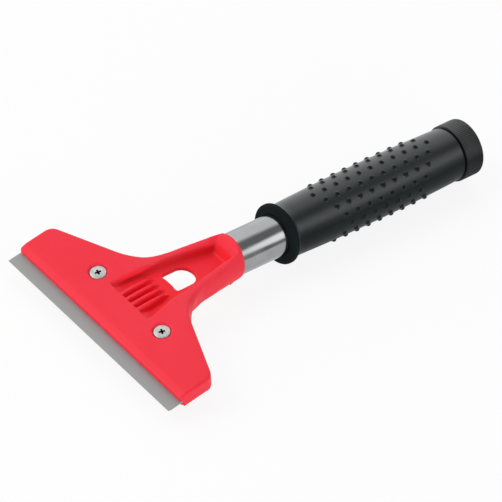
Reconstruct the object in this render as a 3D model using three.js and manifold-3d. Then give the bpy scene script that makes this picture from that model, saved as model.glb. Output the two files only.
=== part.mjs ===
// Hand scraper: clamped steel blade in a plastic head, on a steel tube with a rubber grip.
// Y runs along the handle from the blade to the end cap, X across the blade, Z up.
// While it is built, Y = 0 and Z = 0 lie on the handle's axis near the pocket's end wall.
import * as THREE from "three";
import { mergeVertices } from "three/addons/utils/BufferGeometryUtils.js";
import Module from "manifold-3d";

const wasm = await Module();
wasm.setup();

// Driving dimensions in millimetres, the pitch in degrees
const BLADE_WIDTH = 100;
const BLADE_DEPTH = 18;
const BLADE_THICK = 0.6;
const BLADE_OUT = 6;
const BLADE_GRIND = 1.4;
const BLADE_EDGE = 0.05;

const HEAD_PITCH = 13.3;
const HEAD_LIP = 0.4;
const HEAD_TOP = 2.8;
const HEAD_BACK = 4;
const HEAD_EDGE = 0.7;
const WING_BEHIND_BLADE = 3.9;
const WING_SLOPE = 0.4155;
const WING_FILLET = 11;
const WING_TIP_ROUND = 3.5;
const BEND_BEHIND_BLADE = 16.5;
const BEND_TO_POCKET_END = 32.8;
const BEND_HEIGHT = 3.55;
const RAIL_RISE = 0.0817;
const NECK_TAPER = 0.106;
const NECK_KEEL = 0.3545;
const NECK_WALL = 2;
const SOCKET_DEPTH = 3.3;
const SOCKET_WALL = 0.55;
const SOCKET_END_WALL = 2.4;
const SPIGOT_LENGTH = 27;
const SPIGOT_WALL = 2;

const POCKET_BEHIND_BLADE = 2.8;
const POCKET_END_HALF = 5.6;
const POCKET_FLARE = 0.1406;
const POCKET_DRAFT = 0.3;
const POCKET_LIP = 1.25;
const POCKET_DEPTH = 2.85;
const FLOOR_HEIGHT = 1.3;
const WEB = 1.4;
const WINDOW_WIDTH = 9.9;
const WINDOW_LENGTH = 11.9;
const WINDOW_FROM_END = 18.4;
const RIB_PITCH = 3.4;
const RIB_WIDTH = 1.5;
const RIB_LENGTH = 15.2;
const RIB_SUNK = 0.25;

const SCREW_SPACING = 39.8;
const SCREW_BEHIND_BLADE = 3.4;
const SCREW_DIAMETER = 3.8;
const SCREW_HEAD_DIAMETER = 6.6;
const SCREW_SUNK = 0.45;
const CROSS_LENGTH = 3.9;
const CROSS_WIDTH = 0.85;
const CROSS_DEPTH = 1.1;
const NUT_FLATS = 7;
const NUT_THICK = 2.2;
const CLAMP_INSET = 0.7;
const CLAMP_CHAMFER = 3.2;

const TUBE_DIAMETER = 17.8;
const TUBE_WALL = 1.2;
const TUBE_SHOWN = 23.1;
const GRIP_LENGTH = 92.6;
const GRIP_WALL = 3.05;
const GRIP_SWELL = 0.8;
const FLANGE_PROUD = 0.7;
const FLANGE_LENGTH = 6.1;
const NUB_DIAMETER = 2.2;
const NUB_HEIGHT = 0.75;
const NUB_PITCH = 6.08;
const NUB_ROWS = 16;
const NUBS_LONGEST_ROW = 11;
const CAP_LENGTH = 8.8;
const CAP_STEM = 15;
const CAP_EDGE = 0.5;

const CLEARANCE = 0.15;
const FAR = 60;
const ROUND_SEGMENTS = 56;
const SMALL_SEGMENTS = 32;
const GRIP_SEGMENTS = 2 * NUB_ROWS;
const FLANGE_SEGMENTS = 16;

// Derived sizes and places along the handle
const headHalf = BLADE_WIDTH / 2 + HEAD_LIP;
const tubeRadius = TUBE_DIAMETER / 2;
const tubeBore = tubeRadius - TUBE_WALL;
const socketBore = tubeRadius + CLEARANCE;
const stemRadius = tubeBore - CLEARANCE;
const gripRadius = socketBore + GRIP_WALL;
const capRadius = gripRadius;
const flangeRadius = gripRadius + FLANGE_PROUD;
const pocketEnd = 0.6;
const tubeStart = pocketEnd + SOCKET_END_WALL;
const mouth = tubeStart + SOCKET_DEPTH;
const gripStart = mouth + TUBE_SHOWN;
const gripBody = gripStart + FLANGE_LENGTH;
const gripEnd = gripStart + GRIP_LENGTH;
const capStart = gripEnd + 2 * CLEARANCE;
const capEnd = capStart + CAP_LENGTH;
const tubeEnd = gripEnd - 3;
const screwRadius = SCREW_DIAMETER / 2;
const screwHeadRadius = SCREW_HEAD_DIAMETER / 2;
const screwBore = screwRadius + 2 * CLEARANCE;
const nutCorner = NUT_FLATS / Math.sqrt(3);

// Places back from the cutting edge, in the plane of the plate
const seatBack = BLADE_DEPTH + 1;
const wingTip = BLADE_DEPTH + WING_BEHIND_BLADE;
const screwBack = BLADE_DEPTH + SCREW_BEHIND_BLADE;
const tabHalf = SCREW_SPACING / 2 + NUT_FLATS;
const tabInner = SCREW_SPACING / 2 - NUT_FLATS;
const tabBack = screwBack + NUT_FLATS;
const bendBack = BLADE_DEPTH + BEND_BEHIND_BLADE;
const bendPlace = pocketEnd - BEND_TO_POCKET_END;

// Plate frame: across the blade, back from the cutting edge, out of the blade's front face.
// The plate is bent down from the neck at the bend.
const pitch = THREE.MathUtils.degToRad(HEAD_PITCH);
const plateFrame = new THREE.Matrix4().makeTranslation(0, bendPlace, BEND_HEIGHT)
  .multiply(new THREE.Matrix4().makeRotationX(pitch))
  .multiply(new THREE.Matrix4().makeTranslation(0, -bendBack, -HEAD_TOP));
// Side frames: a drawing of Y and Z, drawn out across X
const sideFrame = new THREE.Matrix4().makeBasis(
  new THREE.Vector3(0, 1, 0), new THREE.Vector3(0, 0, 1), new THREE.Vector3(1, 0, 0));
const plateSideFrame = plateFrame.clone().multiply(sideFrame);

const plateTopAt = (y) => BEND_HEIGHT + (y - bendPlace) * Math.tan(pitch);
const railTopAt = (y) => BEND_HEIGHT + (y - bendPlace) * RAIL_RISE;
const neckRadiusAt = (y) => socketBore + SOCKET_WALL + NECK_TAPER * (mouth - y);
const rimAt = (y) => Math.min(plateTopAt(y), railTopAt(y));
const pocketHalfAt = (y) => POCKET_END_HALF + POCKET_FLARE * (pocketEnd - y);
const pocketLow = bendPlace - (BEND_BEHIND_BLADE - POCKET_BEHIND_BLADE) * Math.cos(pitch);

// Solids from three.js geometry, and back
function toSolid(geometry) {
  const bare = geometry.clone();
  bare.deleteAttribute("normal");
  bare.deleteAttribute("uv");
  const welded = mergeVertices(bare, 1e-4);
  const corners = [];
  const index = welded.index.array;
  for (let i = 0; i < index.length; i += 3) {
    const [a, b, c] = index.slice(i, i + 3);
    if (a !== b && b !== c && c !== a) {
      corners.push(a, b, c);
    }
  }
  const places = Float32Array.from(welded.getAttribute("position").array);
  return new wasm.Manifold(new wasm.Mesh({
    numProp: 3, vertProperties: places, triVerts: Uint32Array.from(corners),
  }));
}

function toGeometry(solid) {
  const mesh = solid.getMesh();
  const geometry = new THREE.BufferGeometry();
  geometry.setAttribute("position", new THREE.BufferAttribute(Float32Array.from(mesh.vertProperties), 3));
  geometry.setIndex(new THREE.BufferAttribute(Uint32Array.from(mesh.triVerts), 1));
  geometry.computeVertexNormals();
  return geometry;
}

// Closed outline through corner points [x, y, rounding], rounding being the length cut off each side
function roundedShape(corners) {
  const shape = new THREE.Shape();
  const count = corners.length;
  corners.forEach(([x, y, rounding = 0], i) => {
    const here = new THREE.Vector2(x, y);
    const before = new THREE.Vector2(...corners[(i + count - 1) % count]);
    const after = new THREE.Vector2(...corners[(i + 1) % count]);
    const enter = here.clone().add(before.sub(here).setLength(rounding));
    const leave = here.clone().add(after.sub(here).setLength(rounding));
    if (i === 0) {
      shape.moveTo(enter.x, enter.y);
    } else {
      shape.lineTo(enter.x, enter.y);
    }
    if (rounding > 0) {
      shape.quadraticCurveTo(x, y, leave.x, leave.y);
    }
  });
  shape.closePath();
  return shape;
}

// The right half of an outline and its mirror image, as one list of corners
function mirrored(half) {
  return [...half, ...half.slice().reverse().map(([x, y, rounding]) => [-x, y, rounding])];
}

function drawOut(shape, low, high, { frame = null, edge = 0, curveSegments = 6 } = {}) {
  const geometry = new THREE.ExtrudeGeometry(shape, {
    depth: high - low - 2 * edge, curveSegments, bevelEnabled: edge > 0,
    bevelThickness: edge, bevelSize: edge, bevelOffset: -edge, bevelSegments: 2,
  });
  geometry.translate(0, 0, low + edge);
  if (frame) {
    geometry.applyMatrix4(frame);
  }
  return toSolid(geometry);
}

// A solid drawn from the side, between two lines of constant X
function fromSide(corners, half, frame = sideFrame) {
  return drawOut(roundedShape(corners), -half, half, { frame });
}

// A profile of [radius, place] turned about Y, from axis to axis
function turned(profile, segments = ROUND_SEGMENTS, start = 0) {
  const points = profile.map(([radius, place]) => new THREE.Vector2(radius, place));
  return toSolid(new THREE.LatheGeometry(points, segments, start));
}

// A ring's profile closes on itself
function turnedRing(profile, segments = ROUND_SEGMENTS, start = 0) {
  return turned([...profile, profile[0]], segments, start);
}

function cylinder(radius, low, high, segments = SMALL_SEGMENTS) {
  return turned([[0, low], [radius, low], [radius, high], [0, high]], segments);
}

// Something turned about Y, stood on the axis of a clamp screw with Y pointing out of the plate
function atScrew(solid, side) {
  const stand = new THREE.Matrix4().makeRotationX(Math.PI / 2);
  const place = new THREE.Matrix4().makeTranslation(side * SCREW_SPACING / 2, screwBack, 0);
  return solid.transform(plateFrame.clone().multiply(place).multiply(stand).elements);
}

// Head: the pitched plate with its wings, whose back edge runs into the neck through a fillet
function headPlate() {
  const neckEdge = neckRadiusAt(bendPlace) - HEAD_EDGE;
  const wingAtNeck = wingTip + (headHalf - neckEdge) * WING_SLOPE;
  const plateEnd = wingAtNeck + 1.4 * WING_FILLET;
  const outline = mirrored([
    [headHalf, BLADE_OUT, 2 * HEAD_EDGE],
    [headHalf, wingTip, WING_TIP_ROUND],
    [neckEdge, wingAtNeck, WING_FILLET],
    [neckEdge - 2.4, plateEnd],
  ]);
  const plate = { frame: plateFrame, edge: HEAD_EDGE, curveSegments: 8 };
  return drawOut(roundedShape(outline), -HEAD_BACK, HEAD_TOP, plate);
}

// Neck: a cone round the tube's axis with upright walls below the axis, open at the bottom and
// cut off under the plate's top. A gusset runs down from the walls to the round socket at its back.
function headNeck() {
  const front = bendPlace - 4;
  const back = pocketEnd - 0.6;
  const blend = 5;
  const cone = turned([[0, front], [neckRadiusAt(front), front], [neckRadiusAt(mouth - 0.6), mouth - 0.6],
    [neckRadiusAt(mouth) - 0.3, mouth], [0, mouth]]);
  const walls = drawOut(roundedShape(mirrored([[neckRadiusAt(front), front],
    [neckRadiusAt(back - blend), back - blend], [neckRadiusAt(back) - 0.7, back]])), -FAR, 0);
  const keelAt = (y) => -NECK_KEEL * neckRadiusAt(y);
  const keel = fromSide([[front - 1, keelAt(front - 1)], [back - blend, keelAt(back - blend)],
    [back - 1, keelAt(back) - 0.5], [back + 2, -neckRadiusAt(back) - 0.1], [mouth + 1, -neckRadiusAt(back) - 0.1],
    [mouth + 1, -FAR - 1], [front - 1, -FAR - 1]], FAR);
  const overPlate = fromSide([[front - 1, plateTopAt(front - 1) - CLEARANCE],
    [bendPlace, plateTopAt(bendPlace) - CLEARANCE], [bendPlace, FAR], [front - 1, FAR]], FAR);
  return cone.add(walls).subtract(keel).subtract(overPlate);
}

// What is cut off above the two rails, up to the rounded front of the socket
function overRails() {
  const crest = neckRadiusAt(pocketEnd) + 0.4;
  const railEnd = pocketEnd - 1;
  const rise = crest - railTopAt(railEnd);
  const risen = (along, share) => [railEnd + along, railTopAt(railEnd) + share * rise];
  return fromSide([[bendPlace, BEND_HEIGHT], risen(0, 0), risen(1.1, 0.16), risen(1.9, 0.5), risen(2.7, 0.82),
    risen(4, 1), [railEnd + 4, FAR], [bendPlace, FAR]], FAR);
}

// The pocket's floor from its rim on the plate to its end wall, as [place, height]
const floorLine = [
  [pocketLow - 0.1, plateTopAt(pocketLow) + 0.1],
  [pocketLow + 1.5, plateTopAt(pocketLow + 1.5) - POCKET_LIP],
  [pocketLow + 9, plateTopAt(pocketLow + 9) - POCKET_DEPTH],
  [bendPlace + 6.2, FLOOR_HEIGHT - 0.6],
  [pocketEnd, FLOOR_HEIGHT],
];

// The pocket's side walls lean outwards, and meet the rim where its plan says
function pocket() {
  const plan = roundedShape(mirrored([
    [pocketHalfAt(pocketLow) - 0.6, pocketLow - 0.3, 3],
    [pocketHalfAt(bendPlace), bendPlace],
    [pocketHalfAt(pocketEnd), pocketEnd, 0.8],
  ]));
  const leaning = drawOut(plan, FLOOR_HEIGHT - 4, FLOOR_HEIGHT + 13).warp((corner) => {
    corner[0] += Math.sign(corner[0]) * POCKET_DRAFT * (corner[2] - rimAt(corner[1]));
  });
  const overFloor = fromSide([...floorLine, [pocketEnd, FAR], [pocketLow - 0.1, FAR]], FAR);
  return leaning.intersect(overFloor);
}

// The hollow under the pocket's web, open below
function backPocket() {
  const [floorBend, floorEnd] = floorLine.slice(-2);
  const front = bendPlace - 0.8;
  const back = pocketEnd - 3;
  const plan = roundedShape(mirrored([
    [neckRadiusAt(front) - NECK_WALL, front, 1.5],
    [neckRadiusAt(back) - NECK_WALL, back, 1.5],
  ]));
  const underWeb = fromSide([[front, -FAR], [front, floorBend[1] - WEB - 0.7], [floorBend[0], floorBend[1] - WEB],
    [back, floorEnd[1] - WEB], [back, -FAR]], FAR);
  return drawOut(plan, -FAR, FAR).intersect(underWeb);
}

// A D-shaped hole for hanging: a round end towards the socket and a slightly bowed flat edge
function hangingWindow() {
  const half = WINDOW_WIDTH / 2;
  const roundEnd = pocketEnd - WINDOW_FROM_END;
  const flatEdge = roundEnd + half - WINDOW_LENGTH;
  const bow = 0.75;
  const shape = new THREE.Shape();
  shape.moveTo(-half, flatEdge - bow / 3);
  shape.quadraticCurveTo(0, flatEdge + bow * 2 / 3, half, flatEdge - bow / 3);
  shape.lineTo(half, roundEnd);
  shape.absarc(0, roundEnd, half, 0, Math.PI, false);
  shape.closePath();
  return drawOut(shape, -FAR, FAR, { curveSegments: 9 });
}

function thumbRib(middle) {
  const front = pocketLow + 0.3;
  const back = pocketLow + RIB_LENGTH;
  const foot = floorLine[1][1] - 0.6;
  const side = roundedShape([[front, plateTopAt(front) - RIB_SUNK],
    [front + 2.3, plateTopAt(front + 2.3) - RIB_SUNK, 1], [front + 7.7, plateTopAt(front + 5) - 2 * RIB_SUNK, 2],
    [back - 2.4, plateTopAt(back) - POCKET_DEPTH - 0.1, 2], [back, FLOOR_HEIGHT - 1.6], [back, foot], [front, foot]]);
  const edge = RIB_WIDTH / 4;
  const rounding = { frame: sideFrame, edge, curveSegments: 3 };
  return drawOut(side, middle - RIB_WIDTH / 2, middle + RIB_WIDTH / 2, rounding);
}

// The room for the blade and the clamp plate under the head's plate, open at the front and at both ends
function clampSeat() {
  const outline = mirrored([[headHalf + FAR, -FAR], [headHalf + FAR, seatBack], [tabHalf + 2 * CLEARANCE, seatBack],
    [tabHalf + 2 * CLEARANCE, tabBack + 2 * CLEARANCE, 1.2],
    [tabInner - 2 * CLEARANCE, tabBack + 2 * CLEARANCE, 1.2], [tabInner - 2 * CLEARANCE, seatBack]]);
  return drawOut(roundedShape(outline), -FAR, CLEARANCE, { frame: plateFrame });
}

function screwHole(side) {
  const rim = screwHeadRadius + 2 * CLEARANCE;
  const coneTop = HEAD_TOP - SCREW_SUNK - 2 * CLEARANCE;
  return atScrew(turned([[0, -FAR], [screwBore, -FAR], [screwBore, coneTop - (rim - screwBore)],
    [rim, coneTop], [rim, FAR], [0, FAR]], SMALL_SEGMENTS), side);
}

function socketBoreCut() {
  return cylinder(socketBore, tubeStart - CLEARANCE, mouth + FAR, ROUND_SEGMENTS);
}

function spigot() {
  const root = pocketEnd + SOCKET_END_WALL / 2;
  const end = tubeStart + SPIGOT_LENGTH;
  return turned([[0, root], [stemRadius, root], [stemRadius, end - 1], [stemRadius - 0.9, end],
    [stemRadius - SPIGOT_WALL, end], [stemRadius - SPIGOT_WALL, mouth], [0, mouth]]);
}

function headBody() {
  let body = headPlate().add(headNeck()).subtract(overRails()).subtract(pocket());
  for (const place of [-1.5, -0.5, 0.5, 1.5]) {
    body = body.add(thumbRib(place * RIB_PITCH));
  }
  body = body.subtract(hangingWindow()).subtract(backPocket()).subtract(clampSeat());
  for (const side of [-1, 1]) {
    body = body.subtract(screwHole(side));
  }
  return body.subtract(socketBoreCut()).add(spigot());
}

// Clamp: the plate under the blade, its two screws and their nuts
function nutSeat(side) {
  const pocketTop = NUT_THICK + 2 * CLEARANCE - HEAD_BACK;
  const hex = cylinder(nutCorner + 2 * CLEARANCE, -FAR, pocketTop, 6);
  return atScrew(hex.add(cylinder(screwBore, -FAR, FAR)), side);
}

function clampPlate() {
  const half = headHalf - CLAMP_INSET;
  const bladeSeat = -BLADE_THICK - CLEARANCE;
  const front = BLADE_OUT + 0.4;
  const back = seatBack - 2 * CLEARANCE;
  const outline = mirrored([[half, front, 1.2], [half, back, 1], [tabHalf, back], [tabHalf, tabBack, 1.2],
    [tabInner, tabBack, 1.2], [tabInner, back]]);
  let plate = drawOut(roundedShape(outline), -HEAD_BACK, -CLEARANCE, { frame: plateFrame, edge: 0.5 });
  const stop = BLADE_DEPTH + 2 * CLEARANCE;
  const bladeRoom = [[-FAR, bladeSeat], [stop, bladeSeat], [stop, FAR], [-FAR, FAR]];
  plate = plate.subtract(fromSide(bladeRoom, FAR, plateSideFrame));
  plate = plate.subtract(fromSide([[front - 1, -HEAD_BACK - 1], [front + CLAMP_CHAMFER, -HEAD_BACK - 1],
    [front - 1, bladeSeat - 0.8]], FAR, plateSideFrame));
  for (const side of [-1, 1]) {
    plate = plate.subtract(nutSeat(side));
  }
  return plate;
}

function blade() {
  const section = [[0, -BLADE_EDGE], [0, 0], [BLADE_DEPTH, 0], [BLADE_DEPTH, -BLADE_THICK],
    [BLADE_GRIND, -BLADE_THICK]];
  return fromSide(section, BLADE_WIDTH / 2, plateSideFrame);
}

function clampScrew(side) {
  const top = HEAD_TOP - SCREW_SUNK;
  const tip = -HEAD_BACK - 2 * CLEARANCE;
  const rim = 0.3;
  let screw = turned([[0, tip], [screwRadius - 0.5, tip], [screwRadius, tip + 0.5],
    [screwRadius, top - rim - (screwHeadRadius - screwRadius)], [screwHeadRadius, top - rim],
    [screwHeadRadius, top - rim / 3], [screwHeadRadius - rim / 2, top], [0, top]], SMALL_SEGMENTS);
  const arm = new THREE.BoxGeometry(CROSS_LENGTH, 2 * CROSS_DEPTH, CROSS_WIDTH);
  for (const turn of [0, Math.PI / 2]) {
    screw = screw.subtract(toSolid(arm.clone().rotateY(turn + 0.25).translate(0, top, 0)));
  }
  return atScrew(screw, side);
}

function clampNut(side) {
  const low = CLEARANCE - HEAD_BACK;
  const hex = cylinder(nutCorner, low, low + NUT_THICK, 6);
  return atScrew(hex.subtract(cylinder(screwRadius + CLEARANCE, -FAR, FAR)), side);
}

// Handle: tube, rubber sleeve with its nubs, and end cap
function handleTube() {
  const edge = 0.2;
  return turnedRing([[tubeBore, tubeStart], [tubeRadius - edge, tubeStart], [tubeRadius, tubeStart + edge],
    [tubeRadius, tubeEnd], [tubeBore, tubeEnd]]);
}

const gripMiddle = (gripBody + gripEnd) / 2;

function gripRadiusAt(y) {
  const fromMiddle = (y - gripMiddle) / (gripEnd - gripMiddle);
  return gripRadius - GRIP_SWELL * fromMiddle * fromMiddle;
}

// The flange has a flat facing straight down, level with its full radius, which the handle lies on
function gripFlange() {
  const toCorner = 1 / Math.cos(Math.PI / FLANGE_SEGMENTS);
  const body = gripRadiusAt(gripBody);
  const profile = [[socketBore, gripStart], [socketBore + GRIP_WALL / 2, gripStart + 0.15],
    [flangeRadius - 0.8, gripStart + 0.9], [flangeRadius - 0.2, gripStart + 1.6], [flangeRadius, gripStart + 2.2],
    [flangeRadius, gripStart + 4.8], [flangeRadius - 0.4, gripStart + 5.2], [body + 0.15, gripStart + 5.6],
    [body - 0.3, gripBody], [socketBore, gripBody]];
  return turnedRing(profile.map(([radius, place]) => [radius * toCorner, place]),
    FLANGE_SEGMENTS, Math.PI / FLANGE_SEGMENTS);
}

function gripSleeve() {
  const steps = 10;
  const endRound = 0.4;
  const front = gripStart + FLANGE_LENGTH / 4;
  const profile = [[socketBore, front], [gripRadiusAt(gripBody), front]];
  for (let i = 0; i <= steps; i += 1) {
    const y = THREE.MathUtils.lerp(gripBody, gripEnd - endRound, i / steps);
    profile.push([gripRadiusAt(y), y]);
  }
  profile.push([gripRadiusAt(gripEnd) - endRound, gripEnd], [socketBore, gripEnd]);
  return turnedRing(profile, GRIP_SEGMENTS).add(gripFlange()).add(wasm.Manifold.union(gripNubs()));
}

// Nubs in staggered rows, the rows growing shorter from the top and bottom of the grip to its sides
function gripNubs() {
  const nubs = [];
  const half = NUB_ROWS / 2;
  const root = GRIP_WALL / 4;
  const dome = [[0, -root], [NUB_DIAMETER / 2, -root], [0.375 * NUB_DIAMETER, 0.7 * NUB_HEIGHT], [0, NUB_HEIGHT]]
    .map(([radius, height]) => new THREE.Vector2(radius, height));
  for (let row = 0; row < NUB_ROWS; row += 1) {
    const rowsAway = Math.min(row % half, half - (row % half));
    const count = NUBS_LONGEST_ROW - rowsAway;
    const angle = (row - 0.25) * 2 * Math.PI / NUB_ROWS;
    for (let k = 0; k < count; k += 1) {
      const y = gripMiddle + (k - (count - 1) / 2) * NUB_PITCH;
      const flat = gripRadiusAt(y) * Math.cos(Math.PI / GRIP_SEGMENTS);
      const nub = new THREE.LatheGeometry(dome, 6);
      nubs.push(toSolid(nub.rotateX(Math.PI / 2).translate(0, 0, flat).rotateY(angle).translate(0, y, 0)));
    }
  }
  return nubs;
}

function endCap() {
  const stemStart = gripEnd - CAP_STEM;
  const frontEdge = CAP_EDGE / 2;
  return turned([[0, stemStart], [stemRadius - 0.8, stemStart], [stemRadius, stemStart + 0.8], [stemRadius, capStart],
    [capRadius - frontEdge, capStart], [capRadius, capStart + frontEdge], [capRadius, capEnd - CAP_EDGE],
    [capRadius - CAP_EDGE, capEnd], [0, capEnd]]);
}

// Pieces with their colours
const red = { color: 0xdc2a36, roughness: 0.42, metalness: 0 };
const steel = { color: 0x9a9b9b, roughness: 0.4, metalness: 1 };
const zinc = { color: 0xc9cac6, roughness: 0.35, metalness: 1 };
const chrome = { color: 0xcfd1d2, roughness: 0.18, metalness: 1 };
const rubber = { color: 0x33373a, roughness: 0.7, metalness: 0 };
const capPlastic = { color: 0x2d3032, roughness: 0.6, metalness: 0 };

const pieces = [
  ["head_body", headBody(), red],
  ["clamp_plate", clampPlate(), red],
  ["blade", blade(), steel],
  ["clamp_screw_left", clampScrew(-1), zinc],
  ["clamp_screw_right", clampScrew(1), zinc],
  ["clamp_nut_left", clampNut(-1), zinc],
  ["clamp_nut_right", clampNut(1), zinc],
  ["handle_tube", handleTube(), chrome],
  ["grip_sleeve", gripSleeve(), rubber],
  ["end_cap", endCap(), capPlastic],
];

const group = new THREE.Group();
group.name = "hand_scraper";
const box = new THREE.Box3();
for (const [name, solid, look] of pieces) {
  const mesh = new THREE.Mesh(toGeometry(solid), new THREE.MeshStandardMaterial(look));
  mesh.name = name;
  box.expandByObject(mesh);
  group.add(mesh);
}

// The origin goes under the middle of the whole part, level with its lowest point
const middle = box.getCenter(new THREE.Vector3());
for (const mesh of group.children) {
  mesh.position.set(-middle.x, -middle.y, -box.min.z);
}

export default group;
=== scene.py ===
# %% [markdown]
# Steel scraper: a red moulded head clamps a steel blade, and a bare tube joins it to a black rubber grip.
# The CAD model already fixes every size and joint. Here it is loaded as a frame, and each piece gets the
# softer edges, finer shapes and finishes of the real tool. Nothing in the frame itself is moved or changed.

# %% Load the frame
import math

import bmesh
import bpy
from mathutils import Matrix, Vector


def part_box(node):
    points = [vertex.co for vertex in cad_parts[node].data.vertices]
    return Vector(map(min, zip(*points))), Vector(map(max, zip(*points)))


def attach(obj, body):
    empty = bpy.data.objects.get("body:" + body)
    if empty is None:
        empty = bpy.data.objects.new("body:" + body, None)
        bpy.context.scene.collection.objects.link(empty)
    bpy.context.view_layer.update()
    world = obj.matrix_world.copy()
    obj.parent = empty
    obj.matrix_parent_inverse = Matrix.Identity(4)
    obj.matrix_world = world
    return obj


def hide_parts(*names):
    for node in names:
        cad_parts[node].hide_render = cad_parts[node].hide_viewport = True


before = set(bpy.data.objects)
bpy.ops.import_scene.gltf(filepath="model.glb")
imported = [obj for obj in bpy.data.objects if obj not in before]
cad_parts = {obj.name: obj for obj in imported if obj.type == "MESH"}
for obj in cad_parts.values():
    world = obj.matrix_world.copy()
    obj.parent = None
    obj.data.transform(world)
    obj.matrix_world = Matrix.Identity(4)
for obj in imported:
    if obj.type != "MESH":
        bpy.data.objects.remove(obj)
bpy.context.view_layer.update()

MM = 0.001

# %% [markdown]
# The camera stands where the photographer stood: to the right of the blade and above it, far away with a
# long lens, and rolled a little to the side. Turning a camera in three steps (round the object, up, then a
# roll about its own line of sight) is easier to reason about than three Euler angles.

# %% Place the camera
AIM = Vector((2.26, -17.7, 12.8)) * MM
DISTANCE = 2106.94 * MM
AZIMUTH = math.radians(43.42)
ELEVATION = math.radians(41.606)
ROLL = math.radians(9.965)
LENS = 382.4
SENSOR = 36.0

turn_round = Matrix.Rotation(AZIMUTH, 4, "Z")
tip_down = Matrix.Rotation(math.pi / 2 - ELEVATION, 4, "X")
roll_over = Matrix.Rotation(ROLL, 4, "Z")
facing = turn_round @ tip_down @ roll_over
camera_data = bpy.data.cameras.new("photo_camera")
camera_data.lens = LENS
camera_data.sensor_width = SENSOR
camera_data.clip_start = 0.05
camera_data.clip_end = 50
camera = bpy.data.objects.new("photo_camera", camera_data)
camera.matrix_world = Matrix.Translation(AIM + facing @ Vector((0, 0, DISTANCE))) @ facing
bpy.context.scene.collection.objects.link(camera)
bpy.context.scene.camera = camera
bpy.context.scene.view_settings.view_transform = "Standard"
print("camera stands at", [round(x, 3) for x in camera.matrix_world.translation])

# %% [markdown]
# A few small helpers for node trees. Every material below is built the same way: a Principled shader
# whose colour, roughness and bump come from procedural textures on Object coordinates, so no image file
# is needed.


# %% Node helpers
def add_node(tree, kind, **values):
    """Adds a node to a tree and sets its plain properties by name."""
    node = tree.nodes.new(kind)
    for name, value in values.items():
        setattr(node, name, value)
    return node


def set_inputs(node, **values):
    """Sets unlinked input sockets: an underscore in the keyword stands for a space in the socket's name."""
    for name, value in values.items():
        node.inputs[name.replace("_", " ")].default_value = value
    return node


def new_material(name):
    """A material with an empty tree, its Principled shader and its output already joined."""
    material = bpy.data.materials.new(name)
    material.use_nodes = True
    tree = material.node_tree
    tree.nodes.clear()
    shader = add_node(tree, "ShaderNodeBsdfPrincipled")
    output = add_node(tree, "ShaderNodeOutputMaterial")
    tree.links.new(shader.outputs["BSDF"], output.inputs["Surface"])
    return material, tree, shader


def feed(tree, socket, value):
    """Links a socket to an input, or sets a plain value on it."""
    if isinstance(value, bpy.types.NodeSocket):
        tree.links.new(value, socket)
    else:
        socket.default_value = value


def mix_colours(tree, factor, first, second):
    """Mixes two colours; each of the three may be a socket or a plain value. Returns the result's socket."""
    node = add_node(tree, "ShaderNodeMix", data_type="RGBA")
    feed(tree, node.inputs[0], factor)
    feed(tree, node.inputs[6], first)
    feed(tree, node.inputs[7], second)
    return node.outputs[2]


def combine(tree, operation, first, second):
    """Joins two values with a Math node; each may be a socket or a number. Returns the result's socket."""
    node = add_node(tree, "ShaderNodeMath", operation=operation)
    feed(tree, node.inputs[0], first)
    feed(tree, node.inputs[1], second)
    return node.outputs[0]


def spread(tree, value, low, high, to_low, to_high):
    """Maps a value from one range to another, held at both ends. Returns the result's socket."""
    node = add_node(tree, "ShaderNodeMapRange")
    set_inputs(node, From_Min=low, From_Max=high, To_Min=to_low, To_Max=to_high)
    tree.links.new(value, node.inputs["Value"])
    return node.outputs["Result"]


def object_place(tree):
    """The Object coordinates as three separate sockets."""
    node = add_node(tree, "ShaderNodeSeparateXYZ")
    tree.links.new(add_node(tree, "ShaderNodeTexCoord").outputs["Object"], node.inputs[0])
    return node.outputs


print("node helpers ready")

# %% [markdown]
# The studio. The tool lies on a plain white floor inside a soft tent, with one large lamp on the left in
# front, a bright band low round the front and a small strong fill low on the right. The bare tube works
# as a mirror, so what stands behind the tool shows in it as stripes: a wide panel on the left, a dark gap
# overhead, a bright panel on the right and a low dark gap along the floor. All that is only the colour of
# the world by direction, which lights the tool as well.

# %% Floor, world and lamp
TENT_LEVEL = 0.28
FRONT_BAND_LEVEL = 1.55
# The band fades out upwards between the first two directions, and towards the rear between the other two
BAND_TOP = (0.20, 0.42)
BAND_REAR = (0.05, 0.35)
# Patches of the tent: where each lies, its inner and outer half angle in degrees, and its level
TENT_PATCHES = {
    "left panel": ((-0.70, 0.42, 0.57), 33, 48, 1.3),
    "right panel": ((0.68, 0.55, 0.49), 14, 20, 2.1),
    "upper gap": ((0.22, 0.55, 0.80), 5, 10, 0.26),
    "low gap": ((0.83, 0.55, 0.10), 3, 6, 0.30),
    "low fill": ((0.95, -0.28, 0.07), 9, 17, 7.5),
}
FLOOR_SIZE = 8.0
FLOOR_WHITE = (0.92, 0.92, 0.92, 1)
FLOOR_SELF_LIT = 0.88
LAMP_POWER = 19.5
LAMP_SIZE = 1.0
LAMP_PLACE = Vector((-1.00, -1.33, 1.47))


def near_direction(tree, direction, aim, inner, outer):
    """1 where a direction lies within `inner` degrees of `aim`, 0 beyond `outer` degrees, smooth between."""
    dot = add_node(tree, "ShaderNodeVectorMath", operation="DOT_PRODUCT")
    dot.inputs[1].default_value = Vector(aim).normalized()
    tree.links.new(direction, dot.inputs[0])
    low = math.cos(math.radians(outer))
    high = math.cos(math.radians(inner))
    return spread(tree, dot.outputs["Value"], low, high, 0, 1)


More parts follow.
